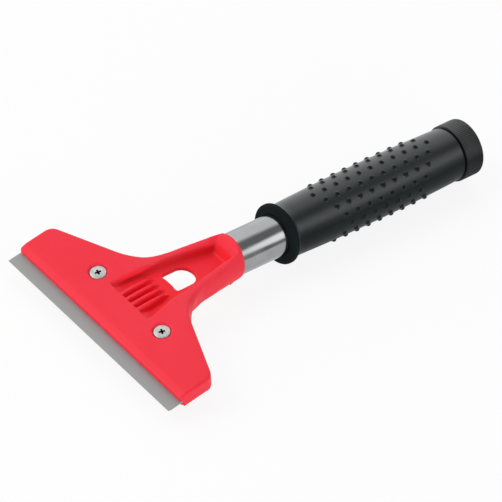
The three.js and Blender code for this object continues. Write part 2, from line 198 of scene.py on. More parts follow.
world = bpy.data.worlds.new("studio_tent")
world.use_nodes = True
bpy.context.scene.world = world
tree = world.node_tree
tree.nodes.clear()
direction = add_node(tree, "ShaderNodeTexCoord").outputs["Generated"]
parts = add_node(tree, "ShaderNodeSeparateXYZ")
tree.links.new(direction, parts.inputs[0])
low_down = spread(tree, parts.outputs["Z"], *BAND_TOP, 1, 0)
in_front = spread(tree, parts.outputs["Y"], *BAND_REAR, 1, 0)
band = combine(tree, "MULTIPLY", low_down, in_front)
tent = mix_colours(tree, band, (TENT_LEVEL,) * 3 + (1,), (FRONT_BAND_LEVEL,) * 3 + (1,))
for aim, inner, outer, level in TENT_PATCHES.values():
    inside = near_direction(tree, direction, aim, inner, outer)
    tent = mix_colours(tree, inside, tent, (level,) * 3 + (1,))
seen = add_node(tree, "ShaderNodeLightPath").outputs["Is Camera Ray"]
tent = mix_colours(tree, seen, tent, (1, 1, 1, 1))
background = add_node(tree, "ShaderNodeBackground")
tree.links.new(tent, background.inputs["Color"])
world_output = add_node(tree, "ShaderNodeOutputWorld")
tree.links.new(background.outputs["Background"], world_output.inputs["Surface"])

floor_mesh = bmesh.new()
bmesh.ops.create_grid(floor_mesh, x_segments=1, y_segments=1, size=FLOOR_SIZE / 2)
floor_data = bpy.data.meshes.new("floor")
floor_mesh.to_mesh(floor_data)
floor_mesh.free()
floor = bpy.data.objects.new("floor", floor_data)
bpy.context.scene.collection.objects.link(floor)

floor_paint = bpy.data.materials.new("white_floor")
floor_paint.use_nodes = True
tree = floor_paint.node_tree
tree.nodes.clear()
matt = set_inputs(add_node(tree, "ShaderNodeBsdfDiffuse"), Color=FLOOR_WHITE)
glow = set_inputs(add_node(tree, "ShaderNodeEmission"), Color=(1, 1, 1, 1), Strength=1.0)
path = add_node(tree, "ShaderNodeLightPath")
shown = combine(tree, "MAXIMUM", path.outputs["Is Camera Ray"], path.outputs["Is Glossy Ray"])
shown = combine(tree, "MAXIMUM", shown, path.outputs["Is Transmission Ray"])
blend = add_node(tree, "ShaderNodeMixShader")
tree.links.new(combine(tree, "MULTIPLY", shown, FLOOR_SELF_LIT), blend.inputs[0])
tree.links.new(matt.outputs[0], blend.inputs[1])
tree.links.new(glow.outputs[0], blend.inputs[2])
floor_output = add_node(tree, "ShaderNodeOutputMaterial")
tree.links.new(blend.outputs[0], floor_output.inputs["Surface"])
floor_data.materials.append(floor_paint)

lamp_data = bpy.data.lights.new("left_softbox", "AREA")
lamp_data.energy = LAMP_POWER
lamp_data.size = LAMP_SIZE
lamp = bpy.data.objects.new("left_softbox", lamp_data)
lamp.location = LAMP_PLACE
lamp.rotation_euler = (-LAMP_PLACE).to_track_quat("-Z", "Y").to_euler()
bpy.context.scene.collection.objects.link(lamp)
print("studio: floor", FLOOR_SIZE, "m, lamp", LAMP_POWER, "W")

# %% [markdown]
# Two effects come back in several finishes, so each is a shader node group: a fine grain like that of a
# mould or a moulded rubber, and fine lines like those that rolling, drawing or grinding leaves on steel.
# A group only puts out masks and heights; each material decides what to do with them.


# %% Shared effects
def new_group(name, inputs, outputs):
    """An empty shader node group with float sockets. Returns the group and its input and output nodes."""
    group = bpy.data.node_groups.new(name, "ShaderNodeTree")
    for label, value in inputs.items():
        socket = group.interface.new_socket(label, in_out="INPUT", socket_type="NodeSocketFloat")
        socket.default_value = value
    for label in outputs:
        group.interface.new_socket(label, in_out="OUTPUT", socket_type="NodeSocketFloat")
    return group, add_node(group, "NodeGroupInput"), add_node(group, "NodeGroupOutput")


def place_group(tree, group, **values):
    """Puts a group into a material with its own values."""
    node = add_node(tree, "ShaderNodeGroup", node_tree=group)
    return set_inputs(node, **values)


grain_group, entry, leave = new_group(
    "fine_grain", {"Grains per m": 3000, "Clouds per m": 60}, ["Grain", "Clouds"]
)
place = add_node(grain_group, "ShaderNodeTexCoord").outputs["Object"]
for label, outlet, detail in (("Grains per m", "Grain", 3), ("Clouds per m", "Clouds", 4)):
    noise = set_inputs(add_node(grain_group, "ShaderNodeTexNoise"), Detail=detail, Roughness=0.55)
    grain_group.links.new(place, noise.inputs["Vector"])
    grain_group.links.new(entry.outputs[label], noise.inputs["Scale"])
    grain_group.links.new(noise.outputs[0], leave.inputs[outlet])

line_group, entry, leave = new_group("fine_lines", {"Along": 20, "Across": 4000}, ["Lines"])
place = add_node(line_group, "ShaderNodeTexCoord").outputs["Object"]
stretch = add_node(line_group, "ShaderNodeVectorMath", operation="MULTIPLY")
scales = add_node(line_group, "ShaderNodeCombineXYZ")
line_group.links.new(entry.outputs["Along"], scales.inputs["X"])
line_group.links.new(entry.outputs["Across"], scales.inputs["Y"])
line_group.links.new(entry.outputs["Across"], scales.inputs["Z"])
line_group.links.new(place, stretch.inputs[0])
line_group.links.new(scales.outputs[0], stretch.inputs[1])
noise = set_inputs(add_node(line_group, "ShaderNodeTexNoise"), Scale=1.0, Detail=3, Roughness=0.6)
line_group.links.new(stretch.outputs[0], noise.inputs["Vector"])
line_group.links.new(noise.outputs[0], leave.inputs["Lines"])


def add_bump(tree, shader, height, strength, depth):
    """Bumps a material's surface by a height socket; depth is the real height of the bumps in metres."""
    bump = set_inputs(add_node(tree, "ShaderNodeBump"), Strength=strength, Distance=depth)
    tree.links.new(height, bump.inputs["Height"])
    tree.links.new(bump.outputs["Normal"], shader.inputs["Normal"])


print("node groups:", [group.name for group in bpy.data.node_groups])

# %% [markdown]
# The head and its clamp plate are moulded in a bright red plastic with a satin skin. It is almost one
# colour, but the skin is faintly cloudy. The raised edges are painted a lighter, pinker red, a painted
# highlight; Pointiness, which Cycles works out from the mesh, finds those edges. The pocket is painted a
# purer red, standing in for the red light its walls throw on each other and for its weaker sheen, and a
# darker red on its side walls as painted shade. Two attributes on the head's mesh mark the pocket's depth
# and its walls.

# %% Red plastic
RED_SKIN = (0.87, 0.031, 0.056, 1)
RED_DEEP = (0.85, 0.025, 0.047, 1)
# Painted highlight for the raised edges
RED_EDGE_HIGHLIGHT = (0.88, 0.036, 0.060, 1)
# Painted light in the pocket: a purer red for its red bounce light, and a darker red on its walls as shade
RED_POCKET_BOUNCE = (0.93, 0.014, 0.030, 1)
RED_WALL_SHADE = (0.66, 0.013, 0.022, 1)

red_plastic, tree, shader = new_material("red_plastic")
grain = place_group(tree, grain_group, Grains_per_m=2600, Clouds_per_m=45)
cloudy = spread(tree, grain.outputs["Clouds"], 0.35, 0.65, 0, 1)
skin = mix_colours(tree, cloudy, RED_DEEP, RED_SKIN)
point = add_node(tree, "ShaderNodeNewGeometry").outputs["Pointiness"]
# Painted highlight: the raised edges, found by Pointiness, are painted a lighter, pinker red
edges = spread(tree, point, 0.52, 0.60, 0, 0.6)
outside = mix_colours(tree, edges, skin, RED_EDGE_HIGHLIGHT)
# Painted light in the pocket: a purer red standing in for its red bounce light and weaker sheen, and a darker
# red on its side walls as painted shade
depth = add_node(tree, "ShaderNodeAttribute", attribute_name="depth").outputs["Fac"]
wall = add_node(tree, "ShaderNodeAttribute", attribute_name="wall").outputs["Fac"]
inside = mix_colours(tree, wall, RED_POCKET_BOUNCE, RED_WALL_SHADE)
tree.links.new(mix_colours(tree, depth, outside, inside), shader.inputs["Base Color"])
tree.links.new(spread(tree, grain.outputs["Clouds"], 0.3, 0.7, 0.40, 0.48), shader.inputs["Roughness"])
set_inputs(shader, IOR=1.40, Specular_IOR_Level=0.26)
add_bump(tree, shader, grain.outputs["Grain"], 0.25, 0.03 * MM)
print("material:", red_plastic.name)

# %% [markdown]
# Three metals and two blacks follow. The blade is rolled strip steel, grey and evenly dull. The screws
# and nuts are zinc plated, paler and a little mottled. The tube is bright drawn steel. The grip is black
# rubber with a faint bloom, and the end cap a harder black plastic. Both get a painted sheen, as a coat,
# on their upper side only, so their lower side stays darker like shade.

# %% Blade steel
blade_steel, tree, shader = new_material("blade_steel")
lines = place_group(tree, line_group, Along=25, Across=5000)
tone = spread(tree, lines.outputs["Lines"], 0.3, 0.7, 0, 1)
colour = mix_colours(tree, tone, (0.305, 0.315, 0.315, 1), (0.345, 0.355, 0.355, 1))
tree.links.new(colour, shader.inputs["Base Color"])
tree.links.new(spread(tree, lines.outputs["Lines"], 0.3, 0.7, 0.52, 0.62), shader.inputs["Roughness"])
set_inputs(shader, Metallic=0.3)
add_bump(tree, shader, lines.outputs["Lines"], 0.2, 0.01 * MM)
print("material:", blade_steel.name)

# %% Zinc plate
zinc_plate, tree, shader = new_material("zinc_plate")
grain = place_group(tree, grain_group, Grains_per_m=4000, Clouds_per_m=700)
mottled = spread(tree, grain.outputs["Clouds"], 0.35, 0.65, 0, 1)
colour = mix_colours(tree, mottled, (0.42, 0.44, 0.43, 1), (0.60, 0.62, 0.60, 1))
recess_shade = add_node(tree, "ShaderNodeAttribute", attribute_name="recess_shade").outputs["Fac"]
# Painted shade: the marked cross recess is painted near black
tree.links.new(mix_colours(tree, recess_shade, colour, (0.012, 0.016, 0.014, 1)), shader.inputs["Base Color"])
tree.links.new(spread(tree, grain.outputs["Clouds"], 0.3, 0.7, 0.34, 0.46), shader.inputs["Roughness"])
set_inputs(shader, Metallic=0.85)
add_bump(tree, shader, grain.outputs["Grain"], 0.2, 0.02 * MM)
print("material:", zinc_plate.name)

# %% Bright tube steel
bright_steel, tree, shader = new_material("bright_steel")
grain = place_group(tree, grain_group, Grains_per_m=3000, Clouds_per_m=120)
smudge = spread(tree, grain.outputs["Clouds"], 0.35, 0.65, 0, 1)
colour = mix_colours(tree, smudge, (0.32, 0.325, 0.33, 1), (0.36, 0.365, 0.37, 1))
tree.links.new(colour, shader.inputs["Base Color"])
tree.links.new(spread(tree, grain.outputs["Clouds"], 0.3, 0.7, 0.13, 0.19), shader.inputs["Roughness"])
set_inputs(shader, Metallic=1.0)
add_bump(tree, shader, grain.outputs["Grain"], 0.05, 0.01 * MM)
print("material:", bright_steel.name)

# %% Black rubber
# Painted sheen: only the upper side gets the coat, so the lower side stays darker like shade.
# The sheen fades out between these two heights, and is missing on the nubs
PAINTED_SHEEN_HEIGHTS = (17.0 * MM, 20.6 * MM)
# The collar is left dull by its mould; the sheen comes back between these two places along the handle
COLLAR_STRETCH = (-1.6 * MM, -0.2 * MM)
COLLAR_DULLER = 0.4

grip_rubber, tree, shader = new_material("grip_rubber")
grain = place_group(tree, grain_group, Grains_per_m=2500, Clouds_per_m=55)
bloom = spread(tree, grain.outputs["Clouds"], 0.35, 0.7, 0, 1)
colour = mix_colours(tree, bloom, (0.0030, 0.0062, 0.0072, 1), (0.0058, 0.0100, 0.0115, 1))
tree.links.new(colour, shader.inputs["Base Color"])
place = object_place(tree)
on_collar = spread(tree, place["Y"], *COLLAR_STRETCH, 1, 0)
even = spread(tree, grain.outputs["Clouds"], 0.3, 0.7, 0.36, 0.44)
duller = combine(tree, "MULTIPLY", on_collar, COLLAR_DULLER)
tree.links.new(combine(tree, "ADD", even, duller), shader.inputs["Roughness"])
nub = add_node(tree, "ShaderNodeAttribute", attribute_name="nub").outputs["Fac"]
kept_sheen = spread(tree, combine(tree, "MAXIMUM", nub, on_collar), 0.05, 0.5, 1, 0)
painted_sheen_side = spread(tree, place["Z"], *PAINTED_SHEEN_HEIGHTS, 0, 1)
tree.links.new(combine(tree, "MULTIPLY", painted_sheen_side, kept_sheen), shader.inputs["Coat Weight"])
set_inputs(shader, IOR=1.45, Specular_IOR_Level=0.13, Coat_Roughness=0.36, Coat_IOR=1.46)
add_bump(tree, shader, grain.outputs["Grain"], 0.3, 0.03 * MM)
print("material:", grip_rubber.name)

# %% Black cap plastic
cap_plastic, tree, shader = new_material("cap_plastic")
grain = place_group(tree, grain_group, Grains_per_m=1800, Clouds_per_m=80)
cloudy = spread(tree, grain.outputs["Clouds"], 0.35, 0.65, 0, 1)
colour = mix_colours(tree, cloudy, (0.0045, 0.0060, 0.0065, 1), (0.0075, 0.0090, 0.0095, 1))
tree.links.new(colour, shader.inputs["Base Color"])
tree.links.new(spread(tree, grain.outputs["Clouds"], 0.3, 0.7, 0.40, 0.50), shader.inputs["Roughness"])
# Painted sheen: the coat on the upper side only, as on the grip
tree.links.new(spread(tree, object_place(tree)["Z"], *PAINTED_SHEEN_HEIGHTS, 0, 1), shader.inputs["Coat Weight"])
set_inputs(shader, IOR=1.45, Specular_IOR_Level=0.18, Coat_Roughness=0.32, Coat_IOR=1.36)
add_bump(tree, shader, grain.outputs["Grain"], 0.4, 0.04 * MM)
print("material:", cap_plastic.name)

# %% [markdown]
# Each new piece ends the same way: its mesh becomes an object at the origin, it gets its material, it rides
# on the CAD body that carries it, and it stands for the CAD node it was made for.


# %% Finish a piece
def finish_piece(mesh_or_data, name, body, node, material, smooth_angle=None):
    """Turns a bmesh or a mesh into a finished piece. A smooth angle keeps harder edges than that sharp."""
    if isinstance(mesh_or_data, bmesh.types.BMesh):
        data = bpy.data.meshes.new(name)
        mesh_or_data.to_mesh(data)
        mesh_or_data.free()
    else:
        data = mesh_or_data
    data.materials.clear()
    data.materials.append(material)
    data.shade_smooth()
    if smooth_angle is not None:
        data.set_sharp_from_angle(angle=math.radians(smooth_angle))
    piece = bpy.data.objects.new(name, data)
    bpy.context.scene.collection.objects.link(piece)
    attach(piece, body)
    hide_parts(node)
    data.calc_loop_triangles()
    print(name, "has", len(data.loop_triangles), "triangles")


def applied(data, *settings):
    """Runs a mesh through modifiers and returns the resulting mesh. Each setting is (type, {name: value})."""
    holder = bpy.data.objects.new("holder", data)
    bpy.context.scene.collection.objects.link(holder)
    for kind, values in settings:
        modifier = holder.modifiers.new(kind.lower(), kind)
        for label, value in values.items():
            setattr(modifier, label, value)
    graph = bpy.context.evaluated_depsgraph_get()
    made = bpy.data.meshes.new_from_object(holder.evaluated_get(graph))
    bpy.data.objects.remove(holder)
    return made


print("finishing helpers ready")

# %% [markdown]
# The head is one moulding: a pitched plate, two rails that run into a round neck, a pocket with thumb
# ribs and a hanging window. Its CAD solid has the right shape but knife-sharp edges, and a moulding has
# none. A Bevel on so many crossing edges would tangle, so a copy of the solid is turned level, covered
# with a fine even net by a voxel Remesh, and relaxed: each pass of smooth_vert melts the edges a little
# further. A Decimate then drops the net's spare faces where the surface is flat.

# %% Moulding helpers
PITCH = math.radians(13.3)
CUTTING_EDGE = Vector((0, -98.115, 5.688)) * MM
HANDLE_ORIGIN = Vector((0, -32.985, 12.8))
plate_frame = Matrix.Translation(CUTTING_EDGE) @ Matrix.Rotation(PITCH, 4, "X")
to_plate = plate_frame.inverted()


def on_handle(point):
    """A point of the level net in mm from the handle's origin: the axis, near the end of the pocket."""
    return (plate_frame @ point) / MM - HANDLE_ORIGIN


def add_block(work, low, high):
    """Adds a box, given by two opposite corners in mm."""
    box = bmesh.ops.create_cube(work, size=1)["verts"]
    bmesh.ops.scale(work, vec=(Vector(high) - Vector(low)) * MM, verts=box)
    bmesh.ops.translate(work, vec=(Vector(low) + Vector(high)) / 2 * MM, verts=box)


def add_bar(work, middle, width, side_line):
    """Adds a bar whose side view is a bulging line of (y, z) in mm, narrower at its top than at its foot."""
    points = []
    for y, z, share in side_line:
        for side in (-1, 1):
            place = Vector((middle + side * width * share / 2, y, z)) + HANDLE_ORIGIN
            points.append(work.verts.new(place * MM))
    bmesh.ops.convex_hull(work, input=points)


def smooth_step(value, low, high):
    """0 below low, 1 above high, and an S-shaped curve between them."""
    share = min(max((value - low) / (high - low), 0), 1)
    return share * share * (3 - 2 * share)


def softened(node, name, net, kept, softness, add_more=None, walls=(), refine=None):
    """A copy of a moulded CAD solid with its hard edges melted. `softness` gives the number of passes at a
    place, `add_more` adds solids to the copy, `walls` are boxes in the plate's frame and `refine` moves the
    net's points."""
    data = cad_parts[node].data.copy()
    work = bmesh.new()
    work.from_mesh(data)
    bmesh.ops.remove_doubles(work, verts=work.verts, dist=0.001 * MM)
    if add_more:
        add_more(work)
    bmesh.ops.transform(work, matrix=to_plate, verts=work.verts)
    for low, high in walls:
        add_block(work, low, high)
    work.to_mesh(data)
    work.free()
    netted = applied(data, ("REMESH", {"mode": "VOXEL", "voxel_size": net, "use_smooth_shade": True}))
    work = bmesh.new()
    work.from_mesh(netted)
    counts = [(softness(on_handle(vertex.co)), vertex) for vertex in work.verts]
    for step in range(max(count for count, vertex in counts)):
        soft = [vertex for count, vertex in counts if count > step]
        bmesh.ops.smooth_vert(work, verts=soft, factor=0.5, use_axis_x=True, use_axis_y=True, use_axis_z=True)
    if refine:
        for vertex in work.verts:
            refine(vertex)
    work.to_mesh(netted)
    work.free()
    thinned = applied(netted, ("DECIMATE", {"ratio": kept}))
    thinned.transform(plate_frame)
    thinned.name = name
    return thinned


print("moulding helpers ready")

# %% [markdown]
# The head's own details. Four thumb ribs run from the front rim of the pocket towards the hanging window:
# each is a bar with a bulging back. The pocket opens wider towards its front, the grooves between the
# ribs are cut a little deeper, the walls under the two fillets lean out, the web is thicker round the
# window, and each screw lies in a small round recess. All these are gentle moves of the fine net, so they
# stay soft as a moulding is. Where a move fades in or out, a pair of values gives the two places between
# which it does.

# %% Red head and clamp plate
END_WALLS = [((side * 50.05, 7.2, -3.4), (side * 50.39, 19.6, 1.5)) for side in (-1, 1)]
RIB_PLACES = (-5.1, -1.7, 1.7, 5.1)
RIB_WIDTH = 1.35
# Each point of a rib's side view: y, z and the share of the width there
RIB_LINE = (
    (-45.6, 0.32, 0.75),
    (-42.9, 0.95, 0.7),
    (-37.5, 1.6, 0.7),
    (-32.5, 1.6, 0.7),
    (-30, 1.0, 0.7),
    (-28.4, 0.1, 0.7),
    (-28.4, -0.8, 1.2),
    (-45.6, -0.8, 1.2),
)
RIB_FLANK = (0.6, 1.0)
SIDE_PLACE = 8.8
SIDE_WIDTH = 1.6
SIDE_LINE = ((-7, 0, 1), (5.7, 0, 0.9), (5.7, -2.9, 0.9), (-0.5, -4.5, 1.4), (-7, -4.5, 1.4))
POCKET_FRONT = -45.5
POCKET_REACH = 4.2
POCKET_WIDENED = 0.8
WIDENED_REAR = -22
WIDENED_FRONT = (-50, -46)
GROOVE_DEEPER = 0.2
GROOVE_REACH = 3.8
GROOVE_SIDE = (6.4, 7.2)
GROOVE_FRONT = (-45.4, -44.6)
GROOVE_REAR = (-35, -30.5)
FRONT_DEEPER = 0.5
FRONT_START = (-45.3, -44.4)
FRONT_REAR = (-42, -35)
POCKET_END = 0.6
MOUTH = 6.3
FLOOR_END = 1.3
END_LEAN = 0.5
WINDOW_HALF = 4.95
WINDOW_ROUND = -17.8
WINDOW_FLAT = -24.75
WEB_THICKER = 0.8
WALL_DRAFT = 1.3
DRAFT_FRONT = (-36, -30)
DRAFT_REAR = (-25, -16)
DRAFT_HEIGHT = (0.6, 3.6)
PLATE_RAISED = 0.7
RAISED_FRONT = (6.3, 9.8)
RAISED_REAR = (33, 44)
RAISED_SKIN = (0.2, 1.0)
SCREW_SPOT = (19.9, 21.4)
RECESS_RADIUS = 3.8
RECESS_DEEPER = 0.45
RIB_PASSES = 2
CREST_PASSES = 90
LOW_WALL_PASSES = 30
PLATE_PASSES = 5
NECK_PASSES = 14
NECK_START = (-32, -22)


def plate_top(y):
    """The height of the plate's upper face."""
    return 3.55 + (y + 32.2) * 0.2364


def pocket_half(y):
    """Half the width of the pocket at its rim."""
    return 5.6 + 0.1406 * (0.6 - y)


def add_head_details(work):
    """The thumb ribs, and low walls that carry the neck's straight sides on to the mouth of the socket."""
    for middle in RIB_PLACES:
        add_bar(work, middle, RIB_WIDTH, RIB_LINE)
    for side in (-1, 1):
        add_bar(work, side * SIDE_PLACE, SIDE_WIDTH, SIDE_LINE)


def head_softness(spot):
    """Few passes on the thumb ribs, more on the neck, and many on the crest over the pocket's end."""
    x, y, z = spot
    if -46.3 < y < -27.5 and abs(x) < 6.4 and z > plate_top(y) - 4.5:
        return RIB_PASSES
    if -1.5 < y < 5 and abs(x) < 7 and z > 3:
        return CREST_PASSES
    if -9 < y < 4 and z < -1.5:
        return LOW_WALL_PASSES
    if y > 1:
        return PLATE_PASSES
    return PLATE_PASSES + round(NECK_PASSES * smooth_step(y, *NECK_START))


def pocket_depth(spot):
    """How deep a point lies inside the pocket: 0 at the rim and outside, 1 near the floor."""
    x, y, z = spot / MM - HANDLE_ORIGIN
    if not POCKET_FRONT - 1 < y < MOUTH:
        return 0
    rim = min(plate_top(y), FLOOR_END + 5)
    inside = 1 - smooth_step(abs(x), pocket_half(y) - 0.2, pocket_half(y) + 1)
    return inside * smooth_step(rim - z, 0.7, 2.2) * smooth_step(z - rim, -6.5, -5)


def pocket_wall(spot):
    """1 on the pocket's side walls and beyond them, 0 on its floor; it marks the walls for a darker red, a
    painted shade.
    """
    x, y, z = spot / MM - HANDLE_ORIGIN
    return smooth_step(abs(x), pocket_half(y) - 1.9, pocket_half(y) - 0.7)


def refine_head(vertex):
    """Moves one point of the net for the pocket's width, the grooves, the web and the screws' recesses."""
    x, y, z = on_handle(vertex.co)
    side = math.copysign(1, x)
    out = abs(x)
    half = pocket_half(y)
    if z > plate_top(y) - POCKET_REACH and y < WIDENED_REAR:
        share = min((WIDENED_REAR - y) / (WIDENED_REAR - POCKET_FRONT), 1)
        within = smooth_step(out, half - 5, half - 2.2) * (1 - smooth_step(out, half + 0.5, half + 3.5))
        x += side * POCKET_WIDENED * share * share * within * smooth_step(y, *WIDENED_FRONT)
    off_rib = min(abs(x - middle) for middle in RIB_PLACES)
    if z > plate_top(y) - GROOVE_REACH and out < GROOVE_SIDE[1] and y < -30:
        within = 1 - smooth_step(out, *GROOVE_SIDE)
        along = smooth_step(y, *GROOVE_FRONT) * (1 - smooth_step(y, *GROOVE_REAR))
        z -= GROOVE_DEEPER * smooth_step(off_rib, *RIB_FLANK) * within * along
    if z > plate_top(y) - POCKET_REACH and y < -34:
        within = 1 - smooth_step(out, half - 1.6, half - 0.4)
        along = smooth_step(y, *FRONT_START) * (1 - smooth_step(y, *FRONT_REAR))
        z -= FRONT_DEEPER * within * smooth_step(off_rib, *RIB_FLANK) * along
    if DRAFT_FRONT[0] < y < DRAFT_REAR[1] and out > half + 1:
        along = smooth_step(y, *DRAFT_FRONT) * (1 - smooth_step(y, *DRAFT_REAR))
        near_wall = smooth_step(out, half + 1, half + 3)
        x += side * WALL_DRAFT * along * near_wall * smooth_step(plate_top(y) - z, *DRAFT_HEIGHT)
    if y > -0.6 and z > FLOOR_END and out < 8:
        within = 1 - smooth_step(out, 5.4 + 0.3 * (z - 6.2), 6.9 + 0.3 * (z - 6.2))
        behind = min(max((y - POCKET_END) / (MOUTH - POCKET_END), 0), 1)
        y += END_LEAN * (z - FLOOR_END) * (1 - behind) * within
    if WINDOW_FLAT - 3 < y < WINDOW_ROUND + WINDOW_HALF + 3 and out < WINDOW_HALF + 3:
        if y > WINDOW_ROUND:
            beyond = math.hypot(x, y - WINDOW_ROUND) - WINDOW_HALF
        else:
            beyond = max(out - WINDOW_HALF, WINDOW_FLAT - y)
        floor = 0.7 + (y + 26) * 0.0226
        z -= WEB_THICKER * (1 - smooth_step(beyond, 0.8, 2.4)) * smooth_step(floor - z, 0.3, 1.3)
    vertex.co = to_plate @ ((Vector((x, y, z)) + HANDLE_ORIGIN) * MM)
    across, back, height = vertex.co / MM
    raised = smooth_step(back, *RAISED_FRONT) * (1 - smooth_step(back, *RAISED_REAR))
    vertex.co.z += PLATE_RAISED * raised * smooth_step(height, *RAISED_SKIN) * MM
    reach = math.hypot(abs(across) - SCREW_SPOT[0], back - SCREW_SPOT[1])
    if height > 1.6 and reach < RECESS_RADIUS + 0.4:
        within = 1 - smooth_step(reach, RECESS_RADIUS - 0.1, RECESS_RADIUS + 0.3)
        vertex.co.z -= RECESS_DEEPER * within * MM


NET_SIZE = 0.3 * MM
KEPT_FACES = 0.5
head_data = softened(
    "head_body", "red_head", NET_SIZE, KEPT_FACES, head_softness, add_head_details, END_WALLS, refine_head
)
# These two marks carry the pocket's painted light: a purer red where it is deep, a painted shade on its walls
for mark in ("depth", "wall"):
    head_data.attributes.new(mark, "FLOAT", "POINT")
for vertex in head_data.vertices:
    head_data.attributes["depth"].data[vertex.index].value = pocket_depth(vertex.co)
    head_data.attributes["wall"].data[vertex.index].value = pocket_wall(vertex.co)
finish_piece(head_data, "red_head", "handle", "head_body", red_plastic)
clamp_data = softened("clamp_plate", "red_clamp_plate", NET_SIZE, KEPT_FACES, lambda spot: 4)
finish_piece(clamp_data, "red_clamp_plate", "clamp", "clamp_plate", red_plastic)

# %% [markdown]
# The blade is a strip of steel with a ground edge along its front. It starts as a cube pressed flat; a
# cut across it with bisect_plane marks where the grinding starts, and the front corners are then pulled
# together.

# %% Blade
BLADE_WIDTH = 100 * MM
BLADE_DEPTH = 18 * MM
BLADE_THICK = 0.6 * MM
GRIND_LENGTH = 1.4 * MM
EDGE_THICK = 0.08 * MM

work = bmesh.new()
bmesh.ops.create_cube(work, size=1)
bmesh.ops.scale(work, vec=(BLADE_WIDTH, BLADE_DEPTH, BLADE_THICK), verts=work.verts)
bmesh.ops.translate(work, vec=(0, BLADE_DEPTH / 2, -BLADE_THICK / 2), verts=work.verts)
whole = work.verts[:] + work.edges[:] + work.faces[:]
bmesh.ops.bisect_plane(work, geom=whole, plane_co=(0, GRIND_LENGTH, 0), plane_no=(0, 1, 0))
for vertex in work.verts:
    if vertex.co.y < 0.01 * MM and vertex.co.z < -BLADE_THICK / 2:
        vertex.co.z = -EDGE_THICK
corners = [edge for edge in work.edges if edge.calc_face_angle(0) > math.radians(60)]
bmesh.ops.bevel(
    work, geom=corners, offset=0.02 * MM, offset_type="OFFSET", segments=2, profile=0.5, affect="EDGES",
    material=-1,
)
bmesh.ops.transform(work, matrix=plate_frame, verts=work.verts)
finish_piece(work, "steel_blade", "blade_strip", "blade", blade_steel, 20)

# %% [markdown]
# The tube, the end cap, the grip and the screws are turned shapes: half a profile, spun about an axis.
# The spin is closed with use_merge, the points on the axis are merged, and sharp rings are then rounded
# with bevel.


# %% Spin helper
def spun(profile, steps, axis=(0, 1, 0)):
    """A turned solid. The profile is a closed or axis-to-axis list of (distance along the axis, radius)."""
    work = bmesh.new()
    if axis == (0, 1, 0):
        points = [Vector((radius, along, 0)) for along, radius in profile]
    else:
        points = [Vector((radius, 0, along)) for along, radius in profile]
    verts = [work.verts.new(point) for point in points]
    edges = [work.edges.new(pair) for pair in zip(verts, verts[1:])]
    bmesh.ops.spin(
        work, geom=verts + edges, cent=(0, 0, 0), axis=axis, angle=2 * math.pi, steps=steps, use_merge=True
    )
    bmesh.ops.remove_doubles(work, verts=work.verts, dist=0.0005 * MM)
    bmesh.ops.recalc_face_normals(work, faces=work.faces)
    return work


def round_rings(work, width, segments=3, sharper_than=25):
    """Rounds the edges of a turned solid that are sharper than an angle in degrees."""
    limit = math.radians(sharper_than)
    sharp = [edge for edge in work.edges if edge.calc_face_angle(0) > limit]
    bmesh.ops.bevel(
        work, geom=sharp, offset=width, offset_type="OFFSET", segments=segments, profile=0.5, affect="EDGES",
        material=-1,
    )


def measures(node):
    """Where a turned CAD node starts and ends along the handle, and its outer radius."""
    low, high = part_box(node)
    return low.y, high.y, (high.x - low.x) / 2


AXIS_HEIGHT = 12.8 * MM
onto_axis = Vector((0, 0, AXIS_HEIGHT))
print("handle axis at", AXIS_HEIGHT / MM, "mm")

# %% Tube
TUBE_WALL = 1.2 * MM
TUBE_CLEAR = 2.2 * MM
tube_start, tube_end, tube_radius = measures("handle_tube")
tube_start += TUBE_CLEAR
profile = [
    (tube_start, tube_radius - TUBE_WALL),
    (tube_start, tube_radius),
    (tube_end, tube_radius),
    (tube_end, tube_radius - TUBE_WALL),
    (tube_start, tube_radius - TUBE_WALL),
]
work = spun(profile, 96)
round_rings(work, 0.25 * MM)
bmesh.ops.translate(work, vec=onto_axis, verts=work.verts)
finish_piece(work, "bright_tube", "handle", "handle_tube", bright_steel, 30)

# %% [markdown]
# The end cap is a short plug with a rounded rim and fine ribs all round. Its front edge is rounded as
# well, which leaves the dark seam between cap and grip that shows on the real tool. A cosine of the angle
# about the axis, taken off the radius of every point on the outer wall, makes all the ribs at once.

# %% End cap
CAP_LENGTH = 8.8 * MM
CAP_RIBS = 84
CAP_RIB_DEPTH = 0.22 * MM
CAP_STEM_RADIUS = 7.6 * MM
cap_start, cap_end, cap_radius = measures("end_cap")
cap_front = cap_end - CAP_LENGTH
profile = [
    (cap_start, 0),
    (cap_start, CAP_STEM_RADIUS),
    (cap_front, CAP_STEM_RADIUS),
    (cap_front, cap_radius),
    (cap_end, cap_radius),
    (cap_end, 0),
]
work = spun(profile, 4 * CAP_RIBS)
round_rings(work, 0.4 * MM, 3)
for vertex in work.verts:
    radius = math.hypot(vertex.co.x, vertex.co.z)
    if radius < cap_radius - 0.02 * MM:
        continue
    wave = 0.5 - 0.5 * math.cos(CAP_RIBS * math.atan2(vertex.co.x, vertex.co.z))
    scale = 1 - CAP_RIB_DEPTH * wave / radius
    vertex.co.x *= scale
    vertex.co.z *= scale
bmesh.ops.translate(work, vec=onto_axis, verts=work.verts)
finish_piece(work, "black_end_cap", "handle", "end_cap", cap_plastic, 40)

# %% [markdown]
# The grip is a rubber sleeve, a little fuller in the middle, with a flat-fronted collar and rows of small
# round nubs. Separate domes stuck on it would show a hard line all round each foot. Instead the sleeve is
# spun with so fine a net that its own vertices can be pushed out into the nubs. An attribute named nub
# marks them for the rubber's finish.

